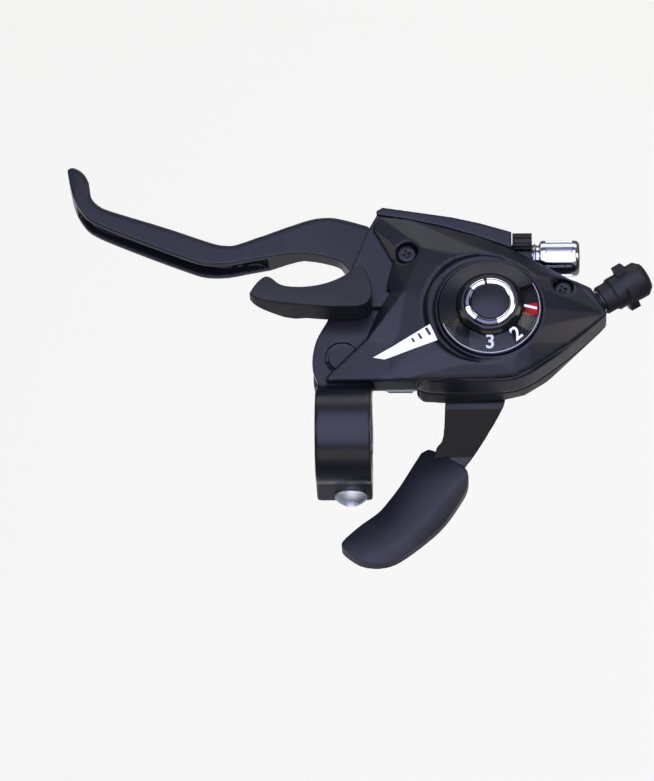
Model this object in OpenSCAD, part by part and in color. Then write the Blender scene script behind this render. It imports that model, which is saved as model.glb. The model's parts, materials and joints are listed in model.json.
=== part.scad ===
// Left-hand brake lever with a built-in three-speed trigger shifter.
// The origin is the centre of the handlebar bore. +X runs inboard along the bar,
// +Y points forward, away from the rider, and +Z points up out of the dial.

/* [Handlebar clamp] */
// Diameter of the handlebar that the clamp takes
bar_d = 22.2; // [21:0.1:24]
// Gap between the bar and the open clamp, on the radius
bar_gap = 0.05; // [0.03:0.01:0.15]
// Wall of the clamp ring
ring_wall = 4.4; // [3.5:0.1:4.4]
// Width of the clamp along the bar
clamp_w = 18; // [16:0.5:18]
// Height of the clamp lugs below the ring
lug_drop = 6.5; // [6:0.5:8]
// Width of the slit between the lugs
slit_w = 2.6; // [2:0.1:3]
// Thread diameter of the clamp bolt
clamp_bolt_d = 6; // [5:0.5:6]

/* [Bracket] */
// Height of the gap that the brake lever turns in
jaw_h = 10; // [9:0.2:11]
// Thickness of each cheek beside the brake lever
cheek_t = 3; // [2.5:0.1:3.2]
// Wall that joins the two cheeks
web_t = 3; // [2.5:0.1:3.2]
// Thread diameter of the brake cable adjuster
brake_thread_d = 10; // [8:0.5:10]
// Height of the brake cable above the bar's axis
brake_cable_z = 0; // [-0.6:0.2:0.6]

/* [Brake lever] */
// Reach of the lever's tip along the bar, from the middle of the clamp
lever_reach = 90.4; // [86:0.2:94]
// Diameter of the lever's axle
lever_axle_d = 5; // [4:0.2:5.6]
// Wall of the bush round the axle
bush_t = 0.8; // [0.6:0.1:1]
// Outer diameter of the lever's hub
lever_hub_d = 12; // [11:0.2:12]
// Height of the blade where the fingers pull
blade_h = 11.6; // [10:0.2:12]
// Wall of the hollow blade
blade_wall = 2.2; // [1.8:0.1:2.6]

/* [Shifter body] */
// Wall of the moulded covers
cover_wall = 1.8; // [1.5:0.1:2]
// Height of the joint between the covers
parting_z = 0; // [-0.6:0.1:0.4]
// Height of the crease along the rear edge of the upper cover
crease_z = 13.2; // [12.6:0.2:13.8]
// Depth of the underside below the joint of the covers
belly = 8.4; // [8:0.2:9]
// Height of the dial's rim
dial_z = 16.2; // [15.8:0.2:16.8]
// Outer radius of the dial's seat
dial_r = 17.7; // [17.4:0.1:18]
// Diameter of the cover screws' heads
screw_head_d = 5.4; // [5:0.1:5.6]

/* [Mechanism] */
// Diameter of the main axle
axle_d = 5; // [4.6:0.1:5.6]
// Radius of the cable groove in the drum
groove_r = 12.2; // [11.8:0.1:12.4]
// Height of the shift cable above the bar's axis
shift_cable_z = 4; // [3.6:0.2:4.4]
// Depth of the cable groove
groove_depth = 1.4; // [1.2:0.1:1.6]
// Number of teeth on the ratchet wheel, which leaves one gap
ratchet_teeth = 25; // [22:1:26]
// Radius over the ratchet teeth
ratchet_r = 10; // [9.6:0.1:10.2]
// Thickness of the steel plates of the mechanism
plate_t = 1.5; // [1.2:0.1:1.6]
// Diameter of the steel pivot pins
pin_d = 3; // [2.6:0.1:3.2]

/* [Thumb lever and trigger] */
// Reach of the thumb pad behind the bar's axis
thumb_reach = 34.4; // [32:0.2:37]
// Thickness of the thumb pad
pad_t = 6; // [5:0.5:6.5]
// Gap between the thumb pad and the clamp lugs above it
pad_gap = 1.2; // [1:0.1:2]
// Height of the finger part of the release trigger
trigger_h = 10.5; // [9:0.5:11]

/* [Shift cable adjuster] */
// Thread diameter of the shift cable adjuster
shift_thread_d = 6; // [5:0.5:6.5]
// Outer diameter of the adjuster's neck
neck_d = 9.6; // [9:0.1:10]
// Outer diameter of the adjuster's barrel
barrel_d = 11; // [10.4:0.1:11.4]
// Diameter over the fins of the adjuster
fin_d = 15.4; // [14:0.2:16]

/* [Hidden] */
$fn = 48;

run_gap = 0.05;   // radial clearance of each running fit
free_gap = 0.3;   // gap between pieces that move past each other
far = 200;        // size of a cut that goes right through
seat_gap = 0.05;  // gap between pieces that are fitted together

bar_r = bar_d / 2 + bar_gap;
ring_r = bar_r + ring_wall;
cheek_z = jaw_h / 2 + cheek_t;

lever_pivot = [-0.5, 23.6];
main_pivot = [47, 37];
trigger_z = cheek_z + 0.6;

black_plastic = [0.13, 0.13, 0.15];
black_paint = [0.16, 0.16, 0.2];
steel = [0.6, 0.6, 0.62];
zinc = [0.75, 0.76, 0.78];

// A curve through the points p, with n steps between two points
function blend_at(a, b, c, d, t) =
    0.5 * (2 * b + (c - a) * t + (2 * a - 5 * b + 4 * c - d) * t * t
        + (3 * b - a - 3 * c + d) * t * t * t);
function curve(p, n = 4) = [
    for (i = [0 : len(p) - 2], k = [0 : n - 1])
        blend_at(p[max(i - 1, 0)], p[i], p[i + 1], p[min(i + 2, len(p) - 1)], k / n),
    p[len(p) - 1]
];
function polar(r, a) = [r * cos(a), r * sin(a)];
// Points of the blade, moved along with the lever's reach
function reached(p) = [for (q = p) q.x < -45 ? [-45 + (q.x + 45) * (lever_reach - 45) / 44, q.y] : q];
// Points of the thumb pad, moved along with its reach
function lowered(p) = [for (q = p) q.y < -15 ? [q.x, -15 + (q.y + 15) * (thumb_reach - 15) / 19.4] : q];
function reversed(p) = [for (i = [len(p) - 1 : -1 : 0]) p[i]];

// A plate of outline p between two heights
module slab(p, z0, z1) {
    translate([0, 0, z0]) linear_extrude(z1 - z0) polygon(p);
}
// A round bar between two heights, standing on a point of the plan
module post(at, r, z0, z1) {
    translate([at.x, at.y, z0]) cylinder(r = r, h = z1 - z0);
}
// A round bar along X
module bar_x(r, x0, x1, y, z) {
    translate([x0, y, z]) rotate([0, 90, 0]) cylinder(r = r, h = x1 - x0);
}
// A soft skin over points in space
module skin(p, r) {
    hull() for (q = p) translate(q) sphere(r = r, $fn = 10);
}
// A washer or sleeve standing on a point of the plan
module sleeve(at, r_out, r_in, z0, z1) {
    difference() {
        post(at, r_out, z0, z1);
        post(at, r_in, z0 - 1, z1 + 1);
    }
}
// A flat torsion spring round an axis: a closed ring of wire turns
module coil_body(at, r, wire, z0, z1) {
    translate([at.x, at.y, z0]) rotate_extrude() translate([r - wire / 2, 0]) square([wire, z1 - z0]);
}

// Handlebar clamp and bracket, cast in one piece.
neck_y = sqrt(ring_r * ring_r - cheek_z * cheek_z);
web_x = 13;
brake_cable = [61.8, brake_cable_z];
lug_bottom = -(ring_r + lug_drop);
lug_back = -14.4;
lug_front = 12.4;
bolt_x = 2;
bolt_z = -(bar_r + clamp_bolt_d / 2 + 1.6);
slit_y = 0.6;
beam_rear = 56.2;
boss_x0 = 44;
boss_x1 = 54;
boss_r = brake_thread_d / 2 + 2.2;
tunnel_r = 3.4;
beam_front = [[10.4, 75], [12.4, 76.2], [23.6, 74.4], [34.7, 72.6], [43.8, 70.4], [boss_x1, 67.2]];
seam = [[10.4, 73.8], [20, 72.2], [31, 69.6], [42, 66.2], [49.4, 63.4], [boss_x1, 61.6]];
lip_h = 1.2;
plate_screw_at = [[19, 51], [19, 22]];
front_screw_at = [20.3, 58.6];
pivot_groove = [4.2, 5.4];
axle_head_t = 1.4;
skirt_y = 13.7;
skirt_z = 3.7;

module cheek(z0) {
    slab(concat(
        curve([[-8.2, 11], [-8.1, 14.3], [-9.7, 19], [-9.9, 24], [-8.6, 30], [-5.6, 35.8]]),
        [[2.1, 54.2], [7.8, 68.9], [10.4, 73.8], [web_x, 73.8], [web_x, 9], [-8.2, 9]]
    ), z0, z0 + cheek_t);
}

module clamp_lugs() {
    translate([-clamp_w / 2, lug_back, lug_bottom])
        cube([clamp_w, lug_front - lug_back, -lug_bottom - bar_r * 0.35]);
}

module bracket() color(black_paint) difference() {
    union() {
        bar_x(ring_r, -clamp_w / 2, clamp_w / 2, 0, 0);
        intersection() {
            clamp_lugs();
            // rounded back corners of the lugs
            translate([-clamp_w / 2, 0, 0]) rotate([90, 0, 90]) linear_extrude(clamp_w)
                offset(3) offset(delta = -3) polygon([
                    [lug_back, 0], [lug_front, 0], [lug_front, lug_bottom], [lug_back, lug_bottom]
                ]);
        }
        // neck between the ring and the cheeks
        slab([[-8.2, neck_y - 4], [web_x, neck_y - 4], [web_x, neck_y + 2.6], [-8.2, neck_y + 2.6]],
            -cheek_z, cheek_z);
        cheek(jaw_h / 2);
        cheek(-cheek_z);
        // roof that the mouth of the cover stands on
        slab([[web_x - 0.5, 24], [17, 34], [19, 44], [19, beam_rear + 0.5], [web_x - 0.5, beam_rear + 0.5]],
            jaw_h / 2, cheek_z);
        slab([[web_x - web_t, neck_y], [web_x, neck_y], [web_x, 58], [web_x - web_t, 58]],
            -cheek_z, cheek_z);
        // front beam that houses the end of the brake cable
        slab(concat(beam_front, [[boss_x1, beam_rear], [web_x, beam_rear]]), -cheek_z, cheek_z);
        slab(concat(beam_front, reversed(seam)), cheek_z - 0.1, cheek_z + lip_h);
        // boss for the cable adjuster
        bar_x(boss_r, boss_x0, boss_x1, brake_cable[0], brake_cable[1]);
        // tabs for the shifter's base plate
        for (at = plate_screw_at)
            slab([[web_x - 1, at.y - 4], [at.x + 3, at.y - 4], [at.x + 3, at.y + 4], [web_x - 1, at.y + 4]],
                -cheek_z, base_z - plate_t);
    }
    bar_x(bar_r, -clamp_w, clamp_w, 0, 0);
    // beside the ring the bracket stands clear of the bar and of the cover's skirt
    translate([clamp_w / 2, 0, -far / 2]) cube([far, skirt_y + cover_wall + 1, far]);
    translate([clamp_w / 2, 0, -far / 2 + jaw_h / 2]) cube([web_x - clamp_w / 2 + 1, 18.8, far / 2]);
    translate([-clamp_w, slit_y - slit_w / 2, lug_bottom - 1]) cube([2 * clamp_w, slit_w, -lug_bottom]);
    // bolt hole through both lugs, with the nut's pocket at the front
    translate([bolt_x, lug_back - 1, bolt_z]) rotate([-90, 0, 0])
        cylinder(r = clamp_bolt_d / 2 + 0.2, h = lug_front - lug_back + 2);
    translate([bolt_x, lug_front - nut_t, bolt_z]) rotate([-90, 0, 0])
        rotate([0, 0, 30]) cylinder(r = nut_r + seat_gap, h = nut_t + 1, $fn = 6);
    // lever axle, pressed into both cheeks
    post(lever_pivot, lever_axle_d / 2, -cheek_z - 1, cheek_z + 1);
    post(lever_pivot, pivot_groove[0], cheek_z - axle_head_t, cheek_z + 1);
    post(lever_pivot, pivot_groove[1], cheek_z - 0.8, cheek_z + 1);
    // room for the lever's root and the cable in the front beam
    slab([[9.5, beam_rear + 2], [boss_x0 - 2, beam_rear + 2], [boss_x0 - 2, 64.2], [30, 67], [20, 69.4], [9.5, 71.4]],
        -jaw_h / 2, jaw_h / 2);
    bar_x(brake_thread_d / 2, boss_x0 - 1, boss_x1 + 1, brake_cable[0], brake_cable[1]);
    bar_x(tunnel_r, boss_x0 - 4, boss_x0, brake_cable[0], brake_cable[1]);
    post(front_screw_at, screw_d / 2, 0, cheek_z + 2);
    for (at = plate_screw_at) post(at, screw_d / 2, -cheek_z - 1, cheek_z - 1);
}

// Clamp bolt: a button head with a hexagonal socket.
bolt_head_d = 10.4;
bolt_head_h = 3.3;
nut_r = 5.7;
nut_t = 4.6;
module clamp_bolt() color(zinc) translate([bolt_x, lug_back, bolt_z]) difference() {
    union() {
        rotate([-90, 0, 0]) cylinder(r = clamp_bolt_d / 2 - seat_gap, h = lug_front - lug_back - 0.4);
        rotate([90, 0, 0]) rotate_extrude() intersection() {
            square([bolt_head_d / 2, bolt_head_h]);
            translate([0, -3.4]) circle(r = 6.7);
        }
    }
    translate([0, -bolt_head_h - 1, 0]) rotate([-90, 0, 0]) cylinder(r = 2.3, h = 3.2, $fn = 6);
}
module clamp_nut() color(zinc) translate([bolt_x, lug_front - nut_t, bolt_z]) rotate([-90, 0, 0])
    difference() {
        rotate([0, 0, 30]) cylinder(r = nut_r, h = nut_t - 0.2, $fn = 6);
        translate([0, 0, -1]) cylinder(r = clamp_bolt_d / 2, h = nut_t + 2);
    }

// Brake lever: one cast blade with its hub and the hook for the cable end.
lever_gap = 0.4;
root_z = jaw_h / 2 - lever_gap;
blade_z = [-blade_h / 2, blade_h / 2];
loop_rise = 4.1; // the blade is thinner over the finger gap
hub_r = lever_hub_d / 2;
nipple_at = [7.6, brake_cable[0] - 3];
blade_front = curve(reached([
    [-89, 92.8], [-87.2, 93.4], [-84.1, 91.5], [-82.1, 88], [-81.3, 82.8], [-78.6, 79.4], [-74, 77.2],
    [-57.2, 71.3], [-43.1, 65.9], [-38.8, 65], [-34.5, 65.3], [-20.4, 70.9], [-11, 74.4], [-3.3, 75.1], [8, 71.9]
]));
blade_rear = curve(reached([
    [2.2, 55], [-0.9, 59], [-5.2, 60.8], [-11.3, 62], [-17.4, 62], [-29.6, 59.8], [-38, 58.2], [-45, 58.3],
    [-51.1, 60.3], [-66.4, 66.8], [-79.6, 73], [-84, 77], [-87, 83.2], [-89, 92.6]
]));
// rear channel: behind the front wall, ending short of the tip and the root
channel = curve(reached([
    [-22.6, 58.4], [-27, 62.2], [-38, 61.4], [-43.6, 62], [-57, 67.2], [-73, 72.9], [-79.4, 75.8], [-83, 79.8], [-87.4, 79], [-84, 70], [-60, 60], [-45, 54]
]));
module brake_lever() color(black_paint) difference() {
    union() {
        // blade, deepest at the fingers and thinner at the root
        intersection() {
            slab(concat(blade_front, blade_rear), -blade_h, blade_h);
            rotate([90, 0, 0]) linear_extrude(far, center = true) polygon([
                [-lever_reach - 6, blade_z[0] + 1.2], [3 - lever_reach, blade_z[0]], [-24, blade_z[0]],
                [-13, blade_z[0] + loop_rise], [-1.5, blade_z[0] + loop_rise], [2.2, -root_z], [16, -root_z],
                [16, root_z], [-6, root_z], [-34, blade_z[1]], [3 - lever_reach, blade_z[1]],
                [-lever_reach - 6, blade_z[1] - 1.2]
            ]);
        }
        // arm from the hub to the blade
        slab(concat([[2.2, 55], [8, 71.9]], curve([[9.2, 66], [9, 55], [6.4, 40], [5.5, 24]]),
            [[-6.4, 24], [-4.6, 36]]), -root_z, root_z);
        post(lever_pivot, hub_r, -root_z, root_z);
    }
    slab(channel, blade_z[0] + blade_wall, blade_z[1] - blade_wall);
    post(lever_pivot, lever_axle_d / 2 + bush_t, -jaw_h, jaw_h);
    // pocket of the return spring under the hub
    post(lever_pivot, hub_r + 1, -jaw_h, -root_z + spring_h);
    // cross hole for the cable's barrel nipple and its slot to the adjuster
    post(nipple_at, 3.6, -2, jaw_h);
    translate([nipple_at.x, nipple_at.y - 1, -1]) cube([12, 2, jaw_h]);
}
module lever_axle() color(steel) {
    post(lever_pivot, lever_axle_d / 2 - 0.02, -cheek_z, cheek_z - 0.4);
    post(lever_pivot, pivot_groove[0] - 0.02, cheek_z - axle_head_t, cheek_z);
}
module lever_bush() color([0.85, 0.83, 0.76])
    sleeve(lever_pivot, lever_axle_d / 2 + bush_t, lever_axle_d / 2 + run_gap, -root_z + spring_h, root_z);

// Lever return spring: wire turns round the axle under the hub.
spring_h = 2.4;
module lever_return_spring() color(steel)
    coil_body(lever_pivot, hub_r - 0.4, 1, -root_z + 0.2, -root_z + spring_h - 0.3);

// Brake cable adjuster and its locknut.
head_x0 = 63;
head_x1 = 76;
head_r = 5.9;
housing_r = 2.55;
nut_x0 = boss_x1 + 0.3;
nut_x1 = 60.6;
nut_out_r = 8.3;
flutes = 8;
module brake_adjuster() color(zinc) difference() {
    union() {
        bar_x(brake_thread_d / 2 - run_gap, boss_x0 + 1, head_x0, brake_cable[0], brake_cable[1]);
        translate([head_x0, brake_cable[0], brake_cable[1]]) rotate([0, 90, 0]) rotate_extrude()
            polygon([[0, 0], [head_r - 1, 0], [head_r, 1], [head_r, head_x1 - head_x0 - 1.4],
                [head_r - 1.4, head_x1 - head_x0], [0, head_x1 - head_x0]]);
    }
    bar_x(housing_r, head_x1 - 9, head_x1 + 1, brake_cable[0], brake_cable[1]);
    bar_x(1, boss_x0, head_x1, brake_cable[0], brake_cable[1]);
    // flutes round the head
    for (i = [0 : flutes - 1])
        translate([head_x0 + 1.6, brake_cable[0], brake_cable[1]]) rotate([i * 360 / flutes, 0, 0])
            translate([0, 0, head_r + 0.9]) rotate([0, 90, 0]) cylinder(r = 1.5, h = head_x1 - head_x0 - 3.6);
}
module adjuster_locknut() color(black_plastic) difference() {
    bar_x(nut_out_r, nut_x0, nut_x1, brake_cable[0], brake_cable[1]);
    bar_x(brake_thread_d / 2, nut_x0 - 1, nut_x1 + 1, brake_cable[0], brake_cable[1]);
    for (i = [0 : 17]) translate([nut_x0 + 1, brake_cable[0], brake_cable[1]]) rotate([i * 20 + 10, 0, 0])
        translate([-2, -0.5, 7.8]) cube([10, 1, 2]);
    // slot that lets the cable in
    translate([nut_x0 - 1, brake_cable[0] - 1.1, brake_cable[1]]) cube([nut_x1, 2.2, 12]);
}

// Steel base plate, the main axle and what is stacked on it.
floor_z = parting_z - belly + cover_wall;
base_z = floor_z + 0.2 + plate_t;
pawl_z = base_z + 1.1;
pawl_t = 1.3;
drum_z = pawl_z + pawl_t + 0.2;
drum_top = shift_cable_z + 3;
axle_r = axle_d / 2;
arm_top = parting_z - belly - 0.5;
axle_flange_r = 6;
screw_d = 3;
shift_angle = 39;
first_tooth = -165;
tooth_pitch = shift_angle / 3;
drive_pin_at = main_pivot + polar(14.6, 300);
hold_pin_at = main_pivot + polar(15.2, 15);
thumb_travel = 38;
drum_r = groove_r + groove_depth;
disc_z = dial_z - 3;
axle_top = disc_z + 2.4;
// hole for a pin that swings round the main axle
module swing_slot(at, r, z0, z1) {
    d = at - main_pivot;
    a = atan2(d.y, d.x);
    translate([main_pivot.x, main_pivot.y, z0]) rotate([0, 0, a - thumb_travel - 1]) rotate_extrude(angle = thumb_travel + 2)
        translate([norm(d) - r, 0]) square([2 * r, z1 - z0]);
    for (turn = [1, -thumb_travel - 1])
        post(main_pivot + polar(norm(d), a + turn), r, z0, z1);
}
module base_plate() color(steel) difference() {
    slab([[web_x + free_gap, 17.8], [22, 17.8], [25.6, 18.8], [50, 18.8], [56.6, 20.6], [62.4, 24.6], [67, 29], [68, 39.4],
        [64.2, 46], [53, 48], [51, 51], [25.6, 51], [22, 55], [web_x + free_gap, 55]],
        base_z - plate_t, base_z);
    post(main_pivot, axle_r + seat_gap, -belly - 2, 0);
    post(hold_pin_at, pin_d / 2 + 0.02, -belly - 2, 0);
    for (at = plate_screw_at) post(at, screw_d / 2 + 0.2, -belly - 2, 0);
    swing_slot(drive_pin_at, pin_d / 2 + free_gap, -belly - 2, 0);
}
module main_axle() color(steel) {
    post(main_pivot, axle_r, arm_top - plate_t - 1.7, axle_top);
    post(main_pivot, axle_flange_r, arm_top - plate_t - 2.9, arm_top - plate_t - 1.6);
}
module axle_nut() color(zinc) difference() {
    translate([main_pivot.x, main_pivot.y, disc_z + 1.1]) cylinder(r = 4.4, h = 2.2, $fn = 6);
    post(main_pivot, axle_r + seat_gap, disc_z, dial_z + 4);
}
module spacer_sleeve() color(steel)
    sleeve(main_pivot, 4, axle_r + run_gap, arm_top + 0.1, base_z - plate_t);

// Cable drum with its ratchet wheel and return spring.
module ratchet_wheel() color(steel) difference() {
    union() {
        slab([for (i = [0 : ratchet_teeth - 1], k = [0 : 2]) let(a = first_tooth + i * tooth_pitch)
            main_pivot + (k == 0 ? polar(ratchet_r - 1.8, a) :
                k == 1 ? polar(ratchet_r, a + 1) : polar(ratchet_r - 1.2, a + tooth_pitch * 0.7))],
            drum_z - 1.4, drum_z);
        post(main_pivot, ratchet_r - 1.5, drum_z - 1.4, drum_z);
    }
    post(main_pivot, axle_r + run_gap, -belly, 2);
}
spring_room = [4.4, 9.4];
module cable_drum() color(black_plastic) translate([main_pivot.x, main_pivot.y, 0]) difference() {
    rotate_extrude() difference() {
        translate([axle_r + run_gap, drum_z]) square([drum_r - axle_r - run_gap, drum_top - drum_z]);
        translate([groove_r + 1, shift_cable_z]) circle(r = 1);
        translate([groove_r + 0.8, shift_cable_z - 1]) square([groove_depth + 1, 2]);
        translate([spring_room[0], drum_z + 1.5]) square([spring_room[1] - spring_room[0], drum_top - drum_z]);
    }
    // seat of the cable's end
    translate([-groove_r + 0.6, -2, shift_cable_z - 1]) cylinder(r = 2.3, h = drum_top);
}
module drum_spring() color(steel)
    coil_body(main_pivot, (spring_room[0] + spring_room[1]) / 2, 3.6, drum_z + 1.8, drum_top - 0.4);
module indicator_disc() color(black_plastic) translate([main_pivot.x, main_pivot.y, 0]) {
    difference() {
        union() {
            translate([0, 0, disc_z]) cylinder(r = dial_r - 1.7, h = 1);
            // drive leg down to the drum, clear of the release arm
            rotate([0, 0, -60]) translate([0, 0, drum_top]) rotate_extrude(angle = 110)
                translate([11, 0]) square([1.6, disc_z + 0.5 - drum_top]);
        }
        translate([0, 0, disc_z - 1]) cylinder(r = axle_r + run_gap, h = 3);
    }
}
pointer_angle = -11;
module gear_pointer() color("red") translate([main_pivot.x, main_pivot.y, disc_z + 1])
    rotate([0, 0, pointer_angle - 7]) rotate_extrude(angle = 14)
        translate([dial_r - 6.6, 0]) square([4.8, 0.7]);

// Pawls: a hub on its pin and a nose that reaches for the ratchet teeth.
module pawl(at, side, tip_r, swing) {
    d = at - main_pivot;
    a = atan2(d.y, d.x);
    nose = main_pivot + polar(tip_r, a + side * swing);
    heel = main_pivot + polar(tip_r + 1.9, a + side * (swing - 4));
    difference() {
        union() {
            post(at, 2.9, pawl_z, pawl_z + pawl_t);
            slab([nose, heel, at + polar(2.7, a + side * 70), at - polar(2.6, a - side * 30)],
                pawl_z, pawl_z + pawl_t);
        }
        post(at, pin_d / 2 + run_gap, -belly, 2);
    }
}
nose_gap = 0.45;
module drive_pawl() color(steel) pawl(drive_pin_at, -1, ratchet_r + nose_gap, 27);
module drive_pawl_pin() color(zinc) post(drive_pin_at, pin_d / 2, arm_top - plate_t, pawl_z + pawl_t);
module drive_pawl_spring() color(steel)
    coil_body(drive_pin_at, 2.5, 0.7, base_z + 0.2, pawl_z - 0.1);
module hold_pawl() color(steel) pawl(hold_pin_at, 1, ratchet_r + nose_gap, 27);
module hold_pawl_pin() color(zinc) post(hold_pin_at, pin_d / 2, base_z - plate_t, pawl_z + pawl_t);
module hold_pawl_spring() color(steel)
    coil_body(hold_pin_at, 2.5, 0.7, base_z + 0.2, pawl_z - 0.1);

// Thumb lever: a bent steel arm under the body with a moulded pad.
pad_z = lug_bottom - pad_gap;
arm_end_z = pad_z - 1.6;
arm_plan = concat(
    [for (a = [150 : -15 : -30]) main_pivot + polar(7.5, a)],
    curve([[51.6, 15.6], [50, 12], [43.4, 4.6], [39.4, 0.6], [36.6, -4]]),
    [[30, -12], [22, -10]],
    curve([[28.4, 0], [29.2, 4.2], [31.6, 7], [32.4, 15.6]])
);
module thumb_lever_arm() color(black_paint) difference() {
    intersection() {
        slab(arm_plan, arm_end_z - plate_t - 1, arm_top + 1);
        rotate([90, 0, 90]) linear_extrude(80) polygon([
            [60, arm_top], [15, arm_top], [13, arm_top - 0.5], [2.4, arm_end_z + 0.7], [0.4, arm_end_z], [-20, arm_end_z],
            [-20, arm_end_z - plate_t], [0, arm_end_z - plate_t], [1.6, arm_end_z - 1], [12.4, arm_top - 1.9],
            [14.6, arm_top - plate_t], [60, arm_top - plate_t]
        ]);
    }
    post(main_pivot, axle_r + run_gap, arm_top - 5, arm_top + 1);
    post(drive_pin_at, pin_d / 2 + 0.02, arm_top - 5, arm_top + 1);
}
pad_outline = curve(lowered([[26.6, 5.6], [29.4, 4.4], [37.9, -1.1], [39.6, -3.8], [39.4, -7.4], [37.6, -11.4], [32.4, -19.4], [26.3, -25.6],
        [17.5, -32.4], [11.6, -34.4], [5.8, -33.9], [1.6, -31.5], [-1.2, -28.4], [0.6, -25.4], [5, -21.2], [10.6, -16.8],
        [14, -12.6], [17.6, -7.4], [21.4, -0.8], [24.4, 4.4]]));
module thumb_pad() color(black_plastic) difference() {
    hull() {
        slab(pad_outline, pad_z - pad_t + 2.2, pad_z - 1.6);
        translate([0, 0, pad_z - pad_t]) linear_extrude(0.1) offset(-2) polygon(pad_outline);
        translate([0, 0, pad_z - 0.6]) linear_extrude(0.1) offset(-1.2) polygon(pad_outline);
        translate([0, 0, pad_z - 0.1]) linear_extrude(0.1) offset(-4) polygon(pad_outline);
    }
    // waist of the pad on the finger side
    translate([0, 0, pad_z - pad_t - 1]) linear_extrude(pad_t + 2)
        polygon(concat([[-8, -18]],
            curve(lowered([[0.6, -25.4], [5, -21.2], [10.6, -16.8], [14, -12.6], [17.6, -7.4], [21.4, -0.8], [24.4, 4.4]])),
            [[24.4, 8], [-8, 8]]));
    // pocket for the end of the arm
    translate([0, 0, arm_end_z - plate_t - seat_gap]) linear_extrude(plate_t + 2 * seat_gap) offset(seat_gap)
        intersection() { polygon(arm_plan); translate([0, -40]) square([80, 48]); }
    translate([24, -1.4, arm_end_z - plate_t - seat_gap]) cube([30, 10, pad_t]);
}
module thumb_spring() color(steel)
    coil_body(main_pivot, 4.4, 1.2, arm_top - plate_t - 1.5, arm_top - plate_t - 0.1);

// Index-finger release: a steel arm from the main axle and a moulded trigger.
release_plan = concat(
    [for (a = [110 : -20 : -110]) main_pivot + polar(6, a)],
    curve([[42, 33.2], [28, 38.6], [12, 40.6], [-4, 39.4]]),
    [[-6, 41.4], [-4, 43.4]],
    curve([[12, 45.4], [28, 45], [42, 42.4]])
);
trigger_top = trigger_z + trigger_h;
trigger_front = curve([[-29.9, 41.6], [-27.8, 45], [-25.2, 47.3], [-23, 46.9], [-20.6, 44.9], [-17.4, 43.9], [-11.6, 43.8],
    [-5.4, 45], [-0.2, 47.3], [3.4, 50], [6, 50.8], [7.6, 48.4], [9, 44.4], [9.2, 40.6], [7.6, 37.8], [4.6, 36.7]]);
trigger_rear = curve([[4.6, 36.7], [-2.6, 36.6], [-9, 37], [-17.8, 37.9], [-24.6, 38.8], [-28.3, 40], [-29.9, 41.6]]);
module trigger_outline() { polygon(concat(trigger_front, trigger_rear)); }
module release_arm() color(steel) difference() {
    slab(release_plan, trigger_z, trigger_z + plate_t);
    post(main_pivot, axle_r + run_gap, 0, dial_z);
}
module release_trigger() color(black_plastic) difference() {
    intersection() {
        // underside rises towards the tip
        rotate([90, 0, 0]) linear_extrude(far, center = true) polygon([
            [-40, trigger_top - 4.4], [-29, trigger_top - 5.6], [-19, trigger_z - 0.9], [-15.5, trigger_z - 1.3],
            [-12, trigger_z - 0.02], [20, trigger_z - 0.02],
            [20, trigger_top], [-40, trigger_top]
        ]);
        union() {
            translate([0, 0, trigger_z]) linear_extrude(trigger_h - 1.4) trigger_outline();
            translate([0, 0, trigger_top - 1.4]) linear_extrude(0.7) offset(-0.35) trigger_outline();
            translate([0, 0, trigger_top - 0.7]) linear_extrude(0.7) offset(-1) trigger_outline();
            // skirt under the finger part
            intersection() {
                translate([0, 0, trigger_z - 1.8]) linear_extrude(4) trigger_outline();
                translate([-40, 0, 0]) cube([28, 80, trigger_top]);
            }
        }
    }
    translate([0, 0, trigger_z - 0.1]) linear_extrude(plate_t + 0.1 + seat_gap) offset(seat_gap) polygon(release_plan);
}
module release_spring() color(steel)
    coil_body(main_pivot, 4.2, 1.2, trigger_z + plate_t + 0.2, disc_z - 0.4);

// Covers: the outline below the beam, and the crown over it.
shift_dir = 31.7;
tangent_at = main_pivot + polar(groove_r, shift_dir - 90);
boss_face = 34;
boss_start = 25;
module along_cable(t) {
    translate([tangent_at.x, tangent_at.y, shift_cable_z]) rotate([0, 90, shift_dir]) translate([0, 0, t]) children();
}
low_outline = concat(
    [[22.6, 55.6], [22.6, 19]], curve([[24, 15.4], [27.6, 14.4], [36, 14.3], [48, 14.3], [55, 15], [60.4, 17.4], [65, 20.6],
        [72, 26], [78, 31.4], [84.6, 37.8]], 2),
    [[82, 42.6], [79.4, 47], [75, 49.2], [65.6, 52.2], [61.6, 52.2], [53.4, 52.2], [52.8, 55.6]]
);
floor_outline = [[24, 53.6], [23.4, 16.8], [25.4, 14.8], [32, 14.4], [50.4, 15.2], [58, 17], [64.8, 21.4], [70.2, 27], [71, 40],
    [66, 48.6], [54, 50.4], [52, 53.6]];
module inset(d) { offset(delta = -d) children(); }
module low_plan() { polygon(low_outline); }
second_screw_at = [70.5, 46.6];
module cable_boss() {
    intersection() {
        along_cable(boss_start) cylinder(r = shift_thread_d / 2 + 2.2, h = boss_face - boss_start);
        translate([0, 0, parting_z - belly]) linear_extrude(40) low_plan();
    }
}
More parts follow.
